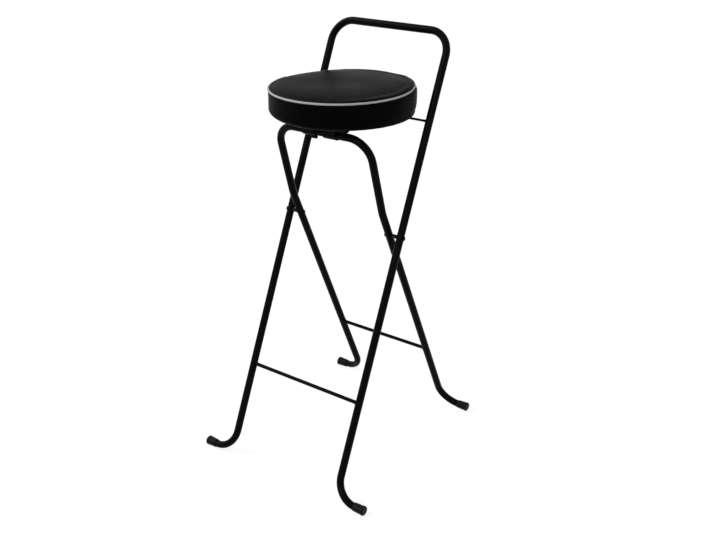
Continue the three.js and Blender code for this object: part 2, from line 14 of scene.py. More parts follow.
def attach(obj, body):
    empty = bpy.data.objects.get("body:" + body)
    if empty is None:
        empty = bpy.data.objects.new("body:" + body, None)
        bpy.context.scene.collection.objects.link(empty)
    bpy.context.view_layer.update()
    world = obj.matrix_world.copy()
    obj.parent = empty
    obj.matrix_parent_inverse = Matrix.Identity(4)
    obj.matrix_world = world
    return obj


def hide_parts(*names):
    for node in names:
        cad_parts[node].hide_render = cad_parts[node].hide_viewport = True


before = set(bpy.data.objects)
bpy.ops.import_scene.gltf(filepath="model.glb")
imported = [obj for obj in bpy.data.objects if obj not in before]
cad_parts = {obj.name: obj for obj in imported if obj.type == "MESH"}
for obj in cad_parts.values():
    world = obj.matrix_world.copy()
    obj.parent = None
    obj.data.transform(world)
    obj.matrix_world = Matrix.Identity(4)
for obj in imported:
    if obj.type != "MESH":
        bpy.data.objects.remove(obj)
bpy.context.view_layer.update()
MM = 0.001
SIDES = ((-1, "left"), (1, "right"))
ENDS = ((-1, "front"), (1, "rear"))

# Sizes of the frames, the same as the CAD's. A half is a distance from the middle plane to a tube's axis.
CLEARANCE = 0.3
TUBE_R = 8.0
RAIL_R = 4.0
ROD_R = 2.5
OUTER_HALF = 144.3
PIVOT_GAP = 11.6
AXIS_Z = 9.1
PIVOT_Z = 510.3
KNEE_RISE = 53.3
KNEE_Z = PIVOT_Z + KNEE_RISE
TOP_Z = PIVOT_Z + 213.8
BOARD_Z = TOP_Z + 26.5
ROD_DROP = 22.7
ROD_Z = BOARD_Z - ROD_DROP
HANDLE_Z = BOARD_Z + 149.4 - TUBE_R
FOOT_RAIL_Z = 193.1
REAR_BRACE_Z = 179.6
HANDLE_BEND = 47
OUTER_FOOT_BEND = 48
INNER_FOOT_BEND = 47
KNEE_BEND = 60
TOP_BEND = 47.0

# The seat's radius and where the frames carry it give how far each frame leans.
SEAT_R = OUTER_HALF + 2
TOP_TUBE_INSET = 76.1
ROD_INSET = 49.65
LOWER = math.tan(math.radians(23.33))
UPPER = math.tan(math.radians(14.58))
TAPER = math.tan(math.radians(0.466))
KNEE_REACH = KNEE_RISE * LOWER
TOP_REACH = KNEE_REACH + (TOP_Z - KNEE_Z) * UPPER
ROD_REACH = 2 * SEAT_R - TOP_TUBE_INSET - ROD_INSET - TOP_REACH
OUTER_SLOPE = ROD_REACH / (ROD_Z - PIVOT_Z)
PIVOT_Y = (PIVOT_Z - AXIS_Z) * (OUTER_SLOPE - LOWER) / 2
TOP_Y = PIVOT_Y - TOP_REACH
ROD_Y = PIVOT_Y + ROD_REACH
SEAT_Y = ROD_Y + ROD_INSET - SEAT_R

# Feet. The tube ends inside its cap.
CAP_LENGTH = 26.0
TUBE_END = 4.3
OUTER_REACH = 74.0
INNER_REACH = 71.0


def outer_y(z):
    return PIVOT_Y + (z - PIVOT_Z) * OUTER_SLOPE


def inner_y(z):
    """Of the inner legs, below the knee."""
    return PIVOT_Y - (z - PIVOT_Z) * LOWER


def inner_half(z):
    return OUTER_HALF - 2 * TUBE_R - PIVOT_GAP - (z - PIVOT_Z) * TAPER


# Camera
CAMERA_PLACE = (1.16175, -1.49392, 1.28370)
AZIMUTH, ELEVATION, ROLL = (math.radians(v) for v in (36.829, 24.944, -0.984))
LENS = 48.924
SENSOR_WIDTH = 36


def make_camera():
    across = math.cos(ELEVATION)
    ahead = Vector((-math.sin(AZIMUTH) * across, math.cos(AZIMUTH) * across, -math.sin(ELEVATION)))
    level = Vector((math.cos(AZIMUTH), math.sin(AZIMUTH), 0))
    above = level.cross(ahead)
    right = math.cos(ROLL) * level + math.sin(ROLL) * above
    up = -math.sin(ROLL) * level + math.cos(ROLL) * above
    data = bpy.data.cameras.new("camera")
    data.lens = LENS
    data.sensor_width = SENSOR_WIDTH
    camera = bpy.data.objects.new("camera", data)
    turn = Matrix((right, up, -ahead)).transposed().to_4x4()
    camera.matrix_world = Matrix.Translation(CAMERA_PLACE) @ turn
    bpy.context.scene.collection.objects.link(camera)
    bpy.context.scene.camera = camera


# Mesh helpers
def add_mesh(name, verts, faces, sharp=None):
    """A closed smooth mesh with its faces outward. Edges that turn by more than sharp degrees stay hard."""
    mesh = bpy.data.meshes.new(name)
    mesh.from_pydata([tuple(c * MM for c in v) for v in verts], [], faces)
    mesh.validate()
    mesh.polygons.foreach_set("use_smooth", [True] * len(mesh.polygons))
    if sharp is not None:
        mesh.set_sharp_from_angle(angle=math.radians(sharp))
    obj = bpy.data.objects.new(name, mesh)
    bpy.context.scene.collection.objects.link(obj)
    bm = bmesh.new()
    bm.from_mesh(mesh)
    bmesh.ops.recalc_face_normals(bm, faces=bm.faces)
    bm.to_mesh(mesh)
    bm.free()
    return obj


def join_into(first, *others):
    """Joins meshes in place: the first object keeps its name and modifiers."""
    bm = bmesh.new()
    for obj in (first, *others):
        bm.from_mesh(obj.data)
    bm.to_mesh(first.data)
    bm.free()
    for obj in others:
        bpy.data.objects.remove(obj)


def ring_faces(rings, sides, closed_ring=False):
    """Quads between rings of the same number of points."""
    faces = []
    for i in range(rings if closed_ring else rings - 1):
        a, b = i * sides, ((i + 1) % rings) * sides
        for k in range(sides):
            n = (k + 1) % sides
            faces.append((a + k, a + n, b + n, b + k))
    return faces


def circle(sides):
    return [2 * math.pi * k / sides for k in range(sides)]


def arc(centre, radius, start, end, steps):
    angles = [math.radians(start + (end - start) * i / steps) for i in range(steps + 1)]
    return [(centre[0] + radius * math.cos(angle), centre[1] + radius * math.sin(angle)) for angle in angles]


def lathe(name, profile, sides, place, sharp, shape=None):
    """Turns a profile of (radius, along) pairs, which starts and ends on the axis or closes on itself.
    place maps (across, across, along) to the frame, and shape gives the radius where it isn't the same all
    round."""
    on_axis = profile[0][0] == 0
    body = profile[1:-1] if on_axis else profile
    verts = []
    for radius, along in body:
        for angle in circle(sides):
            r = radius if shape is None else shape(radius, angle)
            verts.append(place(r * math.cos(angle), r * math.sin(angle), along))
    faces = ring_faces(len(body), sides, closed_ring=not on_axis)
    if on_axis:
        first, last = len(verts), len(verts) + 1
        verts += [place(0, 0, profile[0][1]), place(0, 0, profile[-1][1])]
        end = (len(body) - 1) * sides
        for k in range(sides):
            n = (k + 1) % sides
            faces.append((first, n, k))
            faces.append((last, end + k, end + n))
    return add_mesh(name, verts, faces, sharp)


def along_x(x, y, z, side):
    return lambda a, b, along: (x + side * along, y + a, z + b)


def along_y(x, y, z, way):
    return lambda a, b, along: (x + a, y + way * along, z + b)


def extrude(name, low, high):
    """A closed solid between two outlines of the same number of points."""
    count = len(low)
    faces = [tuple(range(count)), tuple(range(count, 2 * count))]
    faces += [(i, (i + 1) % count, count + (i + 1) % count, count + i) for i in range(count)]
    return add_mesh(name, low + high, faces)


def prism(name, outline, x_from, x_to, bevel):
    """A sheet metal shape: an outline in Y and Z, extruded along X, with its edges eased."""
    corner = math.radians(50)
    obj = extrude(name, [(x_from, y, z) for y, z in outline], [(x_to, y, z) for y, z in outline])
    ease = obj.modifiers.new("eased_edges", "BEVEL")
    ease.width = bevel * MM
    ease.segments = 3
    ease.limit_method = "ANGLE"
    ease.angle_limit = corner
    obj.data.set_sharp_from_angle(angle=corner)
    return obj


# Bent tubes
BEND_STEP = 3.0  # degrees between two stations of a bend
LONGEST_RUN = 40.0  # between two stations of a straight
BEND_FLATTENING = 0.03  # share of the radius that a bend loses, inside and outside


def bend_tube(corners):
    """Stations (point, tangent, spoke, weight) along a polyline of (corner, bend radius). The spoke points
    out of the bend, and the weight rises from 0 at its ends to 1 in its middle."""
    stations = []
    for i, (at, radius) in enumerate(corners):
        at = Vector(at)
        if i in (0, len(corners) - 1):
            other = Vector(corners[1 if i == 0 else i - 1][0])
            tangent = (other - at if i == 0 else at - other).normalized()
            stations.append((at, tangent, None, 0.0))
            continue
        arriving = (at - Vector(corners[i - 1][0])).normalized()
        leaving = (Vector(corners[i + 1][0]) - at).normalized()
        turn = arriving.angle(leaving)
        start = at - arriving * radius * math.tan(turn / 2)
        axis = arriving.cross(leaving).normalized()
        centre = start + axis.cross(arriving) * radius
        steps = max(3, math.ceil(math.degrees(turn) / BEND_STEP))
        for k in range(steps + 1):
            rotation = Matrix.Rotation(turn * k / steps, 3, axis)
            spoke = rotation @ (start - centre)
            weight = math.sin(math.pi * k / steps) ** 0.5 if 0 < k < steps else 0.0
            stations.append((centre + spoke, rotation @ arriving, spoke.normalized(), weight))
    dense = [stations[0]]
    for station in stations[1:]:
        last = dense[-1]
        count = int((station[0] - last[0]).length // LONGEST_RUN)
        for k in range(1, count + 1):
            dense.append((last[0].lerp(station[0], k / (count + 1)), station[1], None, 0.0))
        dense.append(station)
    return dense


def sweep_tube(name, stations, radius, sides):
    """A round tube with its ends closed. Bends are a little flat, as a bent tube is."""
    normal = stations[0][1].orthogonal().normalized()
    verts = []
    last = stations[0][1]
    for point, tangent, spoke, weight in stations:
        turn = last.rotation_difference(tangent)
        normal = (turn @ normal).normalized()
        normal = (normal - tangent * normal.dot(tangent)).normalized()
        across = tangent.cross(normal)
        last = tangent
        for angle in circle(sides):
            way = normal * math.cos(angle) + across * math.sin(angle)
            flat = BEND_FLATTENING * weight * way.dot(spoke) ** 2 if spoke else 0.0
            verts.append(point + way * radius * (1 - flat))
    faces = ring_faces(len(stations), sides)
    faces.append(tuple(range(sides)))
    faces.append(tuple(range(len(verts) - sides, len(verts))))
    return add_mesh(name, verts, faces, sharp=40)


def mirrored(corners):
    return corners + [((-x, y, z), r) for (x, y, z), r in reversed(corners)]


def outer_corners():
    y = outer_y(AXIS_Z)
    return mirrored([
        ((OUTER_HALF + OUTER_REACH - TUBE_END, y, AXIS_Z), 0),
        ((OUTER_HALF, y, AXIS_Z), OUTER_FOOT_BEND),
        ((OUTER_HALF, outer_y(HANDLE_Z), HANDLE_Z), HANDLE_BEND),
    ])


def inner_corners():
    x, y = inner_half(AXIS_Z), inner_y(AXIS_Z)
    return mirrored([
        ((x + INNER_REACH - TUBE_END, y, AXIS_Z), 0),
        ((x, y, AXIS_Z), INNER_FOOT_BEND),
        ((inner_half(KNEE_Z), PIVOT_Y - KNEE_REACH, KNEE_Z), KNEE_BEND),
        ((inner_half(TOP_Z), TOP_Y, TOP_Z), TOP_BEND),
    ])


BEAD_R = 1.25
BEAD_RIPPLE = 0.16
BEAD_NOISE = 0.05


def weld_bead(name, side, half, y, z, radius, lean, seed):
    """The ripple of weld round a rail's end, along the line where the rail meets the leg. lean is the leg's
    (dx, dy) per dz."""
    rng = random.Random(seed)
    leg = Vector((side * lean[0], lean[1], 1)).normalized()
    along = Vector((0, leg.y, leg.z)).normalized()
    across = Vector((1, 0, 0)).cross(along)
    tall = Vector((0, leg.y, leg.z)).length
    count, sides = 56, 10
    points = []
    for angle in circle(count):
        up, out = radius * math.cos(angle), radius * math.sin(angle)
        inward = math.sqrt(TUBE_R**2 - out**2)
        x = side * (half - inward) + leg.x / tall * up
        points.append(Vector((x, y, z)) + along * up + across * out)
    phase = rng.uniform(0, 6)
    verts = []
    for i, point in enumerate(points):
        tangent = (points[(i + 1) % count] - points[i - 1]).normalized()
        outward = (point - Vector((point.x, y, z))).normalized()
        binormal = tangent.cross(outward).normalized()
        ripple = BEAD_RIPPLE * math.sin(i * 9 * 2 * math.pi / count + phase)
        size = BEAD_R + ripple + rng.uniform(-BEAD_NOISE, BEAD_NOISE)
        for angle in circle(sides):
            verts.append(point + (outward * math.cos(angle) + binormal * math.sin(angle)) * size)
    return add_mesh(name, verts, ring_faces(count, sides, closed_ring=True))


# Node materials
class Shader:
    """A small builder for a Principled material's node tree. Scales are per metre."""

    def __init__(self, name, **values):
        self.material = bpy.data.materials.new(name)
        self.material.use_nodes = True
        self.tree = self.material.node_tree
        self.main = self.tree.nodes["Principled BSDF"]
        for key, value in values.items():
            self.main.inputs[key.replace("_", " ")].default_value = value
        self.place = self.node("TexCoord").outputs["Object"]

    def node(self, kind, links=None, **props):
        """links are sockets and what feeds them. props are the node's settings or values of its sockets."""
        made = self.tree.nodes.new("ShaderNode" + kind)
        for key, value in props.items():
            if hasattr(made, key):
                setattr(made, key, value)
            else:
                made.inputs[key.replace("_", " ")].default_value = value
        for socket, source in (links or {}).items():
            self.tree.links.new(source, made.inputs[socket])
        return made

    def stretched(self, stretch):
        return self.node("Mapping", {"Vector": self.place}, Scale=stretch).outputs["Vector"]

    def noise(self, scale, detail=3.0, rough=0.5, stretch=None):
        place = self.stretched(stretch) if stretch else self.place
        made = self.node("TexNoise", {"Vector": place}, Scale=scale, Detail=detail, Roughness=rough)
        return made.outputs["Fac"]

    def span(self, source, low, high, to_low=0.0, to_high=1.0):
        made = self.node("MapRange", {"Value": source})
        for key, value in zip(("From Min", "From Max", "To Min", "To Max"), (low, high, to_low, to_high)):
            made.inputs[key].default_value = value
        return made.outputs["Result"]

    def fill(self, sockets, values):
        """Sets each socket to a number or colour, or feeds it from a node."""
        for socket, value in zip(sockets, values):
            if isinstance(value, (int, float)):
                socket.default_value = value
            elif isinstance(value, tuple):
                socket.default_value = (*value, 1)
            else:
                self.tree.links.new(value, socket)

    def math(self, how, a, b):
        made = self.node("Math", operation=how)
        self.fill(made.inputs, (a, b))
        return made.outputs["Value"]

    def mix(self, share, a, b):
        made = self.node("Mix", {"Factor": share}, data_type="RGBA")
        self.fill(made.inputs[6:8], (a, b))
        return made.outputs[2]

    def ramp(self, source, *stops):
        made = self.node("ValToRGB", {"Fac": source})
        points = made.color_ramp.elements
        while len(points) < len(stops):
            points.new(0.5)
        for point, (at, colour) in zip(points, stops):
            point.position = at
            point.color = (*colour, 1)
        return made.outputs["Color"]

    def bump(self, *layers):
        """layers are (height, distance in mm, strength), the coarsest first."""
        normal = None
        for height, distance, strength in layers:
            made = self.node("Bump", {"Height": height}, Distance=distance * MM, Strength=strength)
            if normal is not None:
                self.tree.links.new(normal, made.inputs["Normal"])
            normal = made.outputs["Normal"]
        self.set("Normal", normal)

    def set(self, key, source):
        self.tree.links.new(source, self.main.inputs[key])


def paint_material(name, rough, dark, light):
    """Black gloss enamel with fine specks, smudges along the tubes and a slight orange peel."""
    s = Shader(name, Specular_IOR_Level=0.03)
    specks = s.span(s.noise(900, 2, 0.7), 0.68, 0.76)
    coat = s.ramp(s.noise(18), (0.3, dark), (0.7, light))
    s.set("Base Color", s.mix(s.math("MULTIPLY", specks, 0.35), coat, (0.02, 0.02, 0.021)))
    smudges = s.span(s.noise(30, 4, 0.6, stretch=(1, 1, 0.35)), 0.35, 0.7, rough - 0.04, rough + 0.08)
    s.set("Roughness", s.math("ADD", smudges, s.math("MULTIPLY", specks, 0.15)))
    s.bump((s.noise(150, 2), 0.06, 0.35), (s.noise(700, 2), 0.02, 0.3))
    return s.material


def rubber_material():
    """Matt black rubber, worn and dusty in its lowest 6 mm."""
    s = Shader("cap_rubber", Specular_IOR_Level=0.08)
    height = s.node("SeparateXYZ", {"Vector": s.place}).outputs["Z"]
    worn = s.span(height, 0.0, 0.006, 0.75, 0.0)
    dust = s.math("MULTIPLY", s.math("ADD", worn, 0.16), s.span(s.noise(160, 4, 0.65), 0.4, 0.75))
    s.set("Base Color", s.mix(dust, (0.0025, 0.0025, 0.0027), (0.02, 0.0195, 0.019)))
    s.set("Roughness", s.span(s.noise(240), 0.3, 0.7, 0.38, 0.55))
    s.bump((s.noise(420), 0.08, 0.4), (s.noise(1800, 2), 0.03, 0.5))
    return s.material


def nylon_material():
    s = Shader("spacer_nylon", Specular_IOR_Level=0.1)
    s.set("Base Color", s.ramp(s.noise(220), (0.3, (0.006, 0.006, 0.0065)), (0.7, (0.011, 0.011, 0.0115))))
    s.set("Roughness", s.span(s.noise(500, 2), 0.3, 0.7, 0.38, 0.55))
    s.bump((s.noise(900, 2), 0.03, 0.4))
    return s.material


def zinc_material():
    s = Shader("fastener_zinc", Metallic=1.0)
    dull, bright, yellowed = (0.36, 0.37, 0.38), (0.52, 0.53, 0.54), (0.5, 0.49, 0.44)
    s.set("Base Color", s.ramp(s.noise(260), (0.3, dull), (0.55, bright), (0.75, yellowed)))
    s.set("Roughness", s.span(s.noise(700), 0.3, 0.7, 0.28, 0.5))
    s.bump((s.noise(1200), 0.03, 0.5))
    return s.material


def steel_wire_material():
    s = Shader("staple_wire", Metallic=1.0)
    s.set("Base Color", s.ramp(s.noise(400, 2), (0.3, (0.4, 0.4, 0.41)), (0.7, (0.6, 0.6, 0.61))))
    s.set("Roughness", s.span(s.noise(800, 2), 0.3, 0.7, 0.25, 0.45))
    s.bump((s.noise(1500, 2), 0.02, 0.4))
    return s.material


def vinyl_material():
    """Grained black vinyl: rounded pebbles between fine creases, with larger soft folds, and painted shade in
    the creases.
    """
    s = Shader("seat_vinyl", Specular_IOR_Level=0.0135)
    drift = s.node("TexNoise", {"Vector": s.place}, Scale=230.0, Detail=2.0)
    bent = s.node("VectorMath", {0: drift.outputs["Color"]}, operation="SCALE")
    bent.inputs["Scale"].default_value = 0.0016
    place = s.node("VectorMath", {0: s.place, 1: bent.outputs["Vector"]}, operation="ADD").outputs["Vector"]
    creases = s.node("TexVoronoi", {"Vector": place}, feature="DISTANCE_TO_EDGE", Scale=620)
    pebbles = s.span(creases.outputs["Distance"], 0.0, 0.28)
    # The base colour is a random mottle plus painted shade: it darkens towards the grain's creases.
    mottle_and_crease_shade = s.math("ADD", s.math("MULTIPLY", s.noise(14, 4, 0.6), 0.7), s.math("MULTIPLY", pebbles, 0.3))
    s.set("Base Color", s.ramp(mottle_and_crease_shade, (0.3, (0.0009, 0.0009, 0.0011)), (0.75, (0.0023, 0.0023, 0.0026))))
    sheen = s.span(s.noise(9), 0.3, 0.7, 0.4, 0.52)
    s.set("Roughness", s.math("SUBTRACT", sheen, s.math("MULTIPLY", pebbles, 0.06)))
    s.bump((s.noise(45), 0.35, 0.35), (pebbles, 0.12, 0.55), (s.noise(2600, 2), 0.03, 0.4))
    return s.material


def piping_material():
    """Pale grey vinyl cord with grime."""
    s = Shader("piping_vinyl", Specular_IOR_Level=0.15)
    grime = s.math("MULTIPLY", s.span(s.noise(70, 5, 0.65), 0.45, 0.8), 0.5)
    s.set("Base Color", s.mix(grime, (0.44, 0.445, 0.45), (0.28, 0.28, 0.28)))
    s.set("Roughness", s.span(s.noise(300), 0.3, 0.7, 0.35, 0.5))
    s.bump((s.noise(160, 2), 0.15, 0.4), (s.noise(1500), 0.04, 0.5))
    return s.material


def plywood_material():
    s = Shader("board_plywood", Specular_IOR_Level=0.3)
    rings = s.node("TexWave", {"Vector": s.stretched((1, 0.12, 1))},
                   Scale=26.0, Distortion=7.0, Detail=4.0, Detail_Scale=1.6)
    fibre = s.noise(420, 4, 0.6, stretch=(1, 0.05, 1))
    grain = s.math("ADD", s.math("MULTIPLY", rings.outputs["Fac"], 0.6), s.math("MULTIPLY", fibre, 0.4))
    late, middle, early = (0.36, 0.21, 0.1), (0.5, 0.33, 0.17), (0.6, 0.43, 0.25)
    s.set("Base Color", s.ramp(grain, (0.25, late), (0.55, middle), (0.8, early)))
    s.set("Roughness", s.span(fibre, 0.3, 0.7, 0.6, 0.8))
    s.bump((grain, 0.1, 0.5), (fibre, 0.05, 0.5))
    return s.material


def finish_piece(obj, material, slot, body, *replaced):
    obj.data.materials.clear()
    obj.data.materials.append(material)
    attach(obj, body)
    if replaced:
        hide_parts(*replaced)


# Frames and rails
RAIL_BITE = 1.5  # how far a rail's end reaches into the leg's wall
RAIL_STATIONS = 13


def make_frames(paint):
    outer = sweep_tube("outer_frame_tube", bend_tube(outer_corners()), TUBE_R, 40)
    finish_piece(outer, paint, "frame_paint", "outer", "outer_frame")
    inner = sweep_tube("inner_frame_tube", bend_tube(inner_corners()), TUBE_R, 40)
    finish_piece(inner, paint, "frame_paint", "inner", "inner_frame")

    outer_lean, inner_lean = (0, OUTER_SLOPE), (-TAPER, -LOWER)
    brace_y, brace_half = inner_y(REAR_BRACE_Z), inner_half(REAR_BRACE_Z)
    rails = [
        ("foot_rail", "outer", RAIL_R, outer_y(FOOT_RAIL_Z), FOOT_RAIL_Z, OUTER_HALF, outer_lean),
        ("seat_rest_rod", "outer", ROD_R, ROD_Y, ROD_Z, OUTER_HALF, outer_lean),
        ("rear_brace", "inner", RAIL_R, brace_y, REAR_BRACE_Z, brace_half, inner_lean),
    ]
    for index, (node, body, radius, y, z, half, lean) in enumerate(rails):
        reach = half - TUBE_R + RAIL_BITE
        places = [reach - i * reach / (RAIL_STATIONS // 2) for i in range(RAIL_STATIONS)]
        stations = [(Vector((x, y, z)), Vector((-1, 0, 0)), None, 0.0) for x in places]
        finish_piece(sweep_tube(f"{node}_bar", stations, radius, 28), paint, "frame_paint", body, node)
        for side, word in SIDES:
            bead = weld_bead(f"{node}_weld_{word}", side, half, y, z, radius + 0.15, lean, 10 * index + side)
            finish_piece(bead, paint, "frame_paint", body)


def make_foot_caps():
    """Caps with a rolled mouth, a body that widens to a rim at its end, and a mould line on both sides."""
    rubber = rubber_material()
    inside, mouth, end = 8.15, 9.1, 10.3  # radii
    floor, rounding = CAP_LENGTH - 4.4, 2.3
    profile = [(0, floor), (inside, floor), (inside, 0.7)]
    profile += [(8.25, 0.2), (8.45, 0.0), (8.75, 0.1), (8.98, 0.45), (mouth, 1.2)]
    profile += [(mouth + 0.85 * (t / 20.2) ** 1.2, t) for t in (3, 6, 9, 12, 15, 18, 20.2)]
    profile += [(10.2, 20.9), (end, 21.6), (end, 23.4)] + arc((end - rounding, 23.7), rounding, 0, 90, 8)
    profile += [(6.4, CAP_LENGTH), (5.9, 25.75), (3, 25.6), (0, 25.6)]

    def mould_line(radius, angle):
        near = min(abs(angle - t) for t in (0, math.pi, 2 * math.pi))
        return radius + (0.14 if near < 0.06 and radius > 9 else 0)

    places = [
        ("outer", OUTER_HALF + OUTER_REACH, outer_y(AXIS_Z)),
        ("inner", inner_half(AXIS_Z) + INNER_REACH, inner_y(AXIS_Z)),
    ]
    for body, reach, y in places:
        for side, word in SIDES:
            place = along_x(side * (reach - CAP_LENGTH), y, AXIS_Z, side)
            cap = lathe(f"{body}_foot_cap_{word}_rubber", profile, 72, place, sharp=40, shape=mould_line)
            for v in cap.data.vertices:
                v.co.z = max(v.co.z, 0.0)  # the sole lies flat on the floor
            finish_piece(cap, rubber, "cap_rubber", body, f"{body}_foot_cap_{word}")


def make_pivots(paint):
    """Rivets through both tubes, with a flanged bush between the tubes."""
    nylon = nylon_material()
    half = inner_half(PIVOT_Z)
    start, end = half - TUBE_R - 0.1, OUTER_HALF + TUBE_R + 0.1
    head = [(0.0, -2.5), (1.6, -2.5), (2.4, -2.42), (3.4, -2.1)]
    head += [(4.3, -1.55), (4.9, -0.85), (5.2, -0.25), (5.1, 0.0)]
    shank, bore, waist, flange = 3, 3.2, 4.05, 4.3
    a, b = half + TUBE_R + CLEARANCE, OUTER_HALF - TUBE_R - CLEARANCE
    pin = [(r, start + t) for r, t in head] + [(shank, start), (shank, end)]
    pin += [(r, end - t) for r, t in reversed(head)]
    bush = [(bore, a), (3.9, a), (flange, a + 0.4), (flange, a + 3.2), (waist, a + 3.5)]
    bush += [(waist, b - 3.5), (flange, b - 3.2), (flange, b - 0.4), (3.9, b), (bore, b)]
    for side, word in SIDES:
        place = along_x(0, PIVOT_Y, PIVOT_Z, side)
        rivet = lathe(f"pivot_pin_{word}_rivet", pin, 40, place, sharp=30)
        finish_piece(rivet, paint, "frame_paint", "outer", f"pivot_pin_{word}")
        spacer = lathe(f"pivot_spacer_{word}_bush", bush, 40, place, sharp=30)
        finish_piece(spacer, nylon, "spacer_nylon", "outer", f"pivot_spacer_{word}")


# Hinge under the seat
SHEET = 2.0
SHEET_BEND = 1.2
CHANNEL_BEVEL, PLATE_BEVEL = 0.35, 0.3
STRAP_IN = TUBE_R + CLEARANCE
STRAP_OUT = STRAP_IN + 1.6
STRAP_X, STRAP_HALF_WIDTH = 26, 16
CHANNEL_SETBACK = 5  # from where the top tube starts to bend
RIVET_R = 1.5
RIVET_HEAD_R, RIVET_HEAD = 2.2, 1.4
RIVET_UP = STRAP_IN + SHEET + CLEARANCE + RIVET_HEAD_R
STRAP_TOP = RIVET_UP + 3.2
TAB_X, TAB_HALF_WIDTH, TAB_REACH, TAB_DROP = 45, 13, 11, 8
LUG_X, LUG_HALF_WIDTH, LUG_HALF_THICKNESS, LUG_DROP, LUG_CORNER = -18, 8, 1.6, 5.2, 3
HOOK_OUT, HOOK_IN, HOOK_HALF, HOOK_SCREW_OFF = 40, 21, 12, 6.5


def strip(points, thickness, inside):
    """The closed outline of a bent sheet along points, with that inside bend radius. The sheet lies to the
    right of the path, or to its left when the thickness is negative."""
    left, right = [], []
    for i, point in enumerate(points):
        here = Vector(point)
        before = (here - Vector(points[i - 1])).normalized() if i else None
        after = (Vector(points[i + 1]) - here).normalized() if i < len(points) - 1 else None
        if before is None or after is None:
            way = after or before
            left.append(here)
            right.append(here + Vector((way.y, -way.x)) * thickness)
            continue
        side = 1 if before.x * after.y - before.y * after.x > 0 else -1
        # The face inside the bend gets the inside radius, and the other one that radius and the thickness.
        r_left = inside if side > 0 else inside + thickness
        r_right = inside + thickness if side > 0 else inside
        corner_right = here + (Vector((before.y, -before.x)) + Vector((after.y, -after.x))) * thickness
        for store, corner, radius in ((left, here, r_left), (right, corner_right, r_right)):
            start = corner - before * radius
            centre = start + Vector((-before.y, before.x)) * side * radius
            spoke = start - centre
            for k in range(7):
                cos, sin = math.cos(math.pi / 2 * k / 6), side * math.sin(math.pi / 2 * k / 6)
                store.append(centre + Vector((spoke.x * cos - spoke.y * sin, spoke.x * sin + spoke.y * cos)))
    return [tuple(p) for p in left] + [tuple(p) for p in reversed(right)]


def make_bracket():
    """A U channel over the top tube, with four tabs that are screwed to the board."""
    top = BOARD_Z - CLEARANCE
    under = TOP_Z + STRAP_IN
    half_length = inner_half(TOP_Z) - TOP_BEND - CHANNEL_SETBACK
    y0, y1 = TOP_Y - TUBE_R, TOP_Y + TUBE_R
    channel = strip([(y0, top), (y0, under), (y1, under), (y1, top)], -SHEET, SHEET_BEND)
    bracket = prism("hinge_bracket_channel", channel, -half_length, half_length, CHANNEL_BEVEL)
    tabs = []
    for side, _ in SIDES:
        for y, way in ((y0, -1), (y1, 1)):
            corners = [(y, top - TAB_DROP), (y, top), (y + way * TAB_REACH, top)]
            outline = strip(corners, SHEET * way, SHEET_BEND)
            x_from, x_to = side * TAB_X - TAB_HALF_WIDTH, side * TAB_X + TAB_HALF_WIDTH
            tabs.append(prism("tab", outline, x_from, x_to, CHANNEL_BEVEL))
    join_into(bracket, *tabs)
    return bracket


def strap_outline():
    """A strap under the top tube with an arm up each side, in Y and Z from the tube's axis."""
    points = [(-STRAP_OUT, STRAP_TOP)] + arc((0, 0), STRAP_OUT, 180, 360, 32)
    points += [(STRAP_OUT, STRAP_TOP), (STRAP_IN, STRAP_TOP)] + arc((0, 0), STRAP_IN, 360, 180, 32)
    return points + [(-STRAP_IN, STRAP_TOP)]


def strap_lug():
    """A small rounded lug that hangs under the strap."""
    low, top = TOP_Z - STRAP_OUT - LUG_DROP, TOP_Z - STRAP_IN - 0.8
    left, right = LUG_X - LUG_HALF_WIDTH, LUG_X + LUG_HALF_WIDTH
    outline = [(left, top)] + arc((left + LUG_CORNER, low + LUG_CORNER), LUG_CORNER, 180, 270, 6)
    outline += arc((right - LUG_CORNER, low + LUG_CORNER), LUG_CORNER, 270, 360, 6) + [(right, top)]
    faces = [[(x, TOP_Y + y, z) for x, z in outline] for y in (-LUG_HALF_THICKNESS, LUG_HALF_THICKNESS)]
    return extrude("lug", *faces)


def hook_outline():
    """A hook's plate in Y and Z from the rod's axis: its notch lies on the rod, its claw hangs behind it."""
    notch, top = ROD_R + CLEARANCE, ROD_DROP - CLEARANCE
    outline = [(-HOOK_HALF, top), (-HOOK_HALF, notch + 1.2), (-11.4, notch + 0.3), (-10.4, notch)]
    outline += arc((0, 0), notch, 90, 0, 10) + [(notch, -4), (notch + 0.4, -4.7), (notch + 1.2, -5)]
    outline += arc((notch + 3.4, -3.2), 1.8, 270, 340, 4)
    return outline + [(11.4, 4.6), (HOOK_HALF, 6.5), (HOOK_HALF, top)]


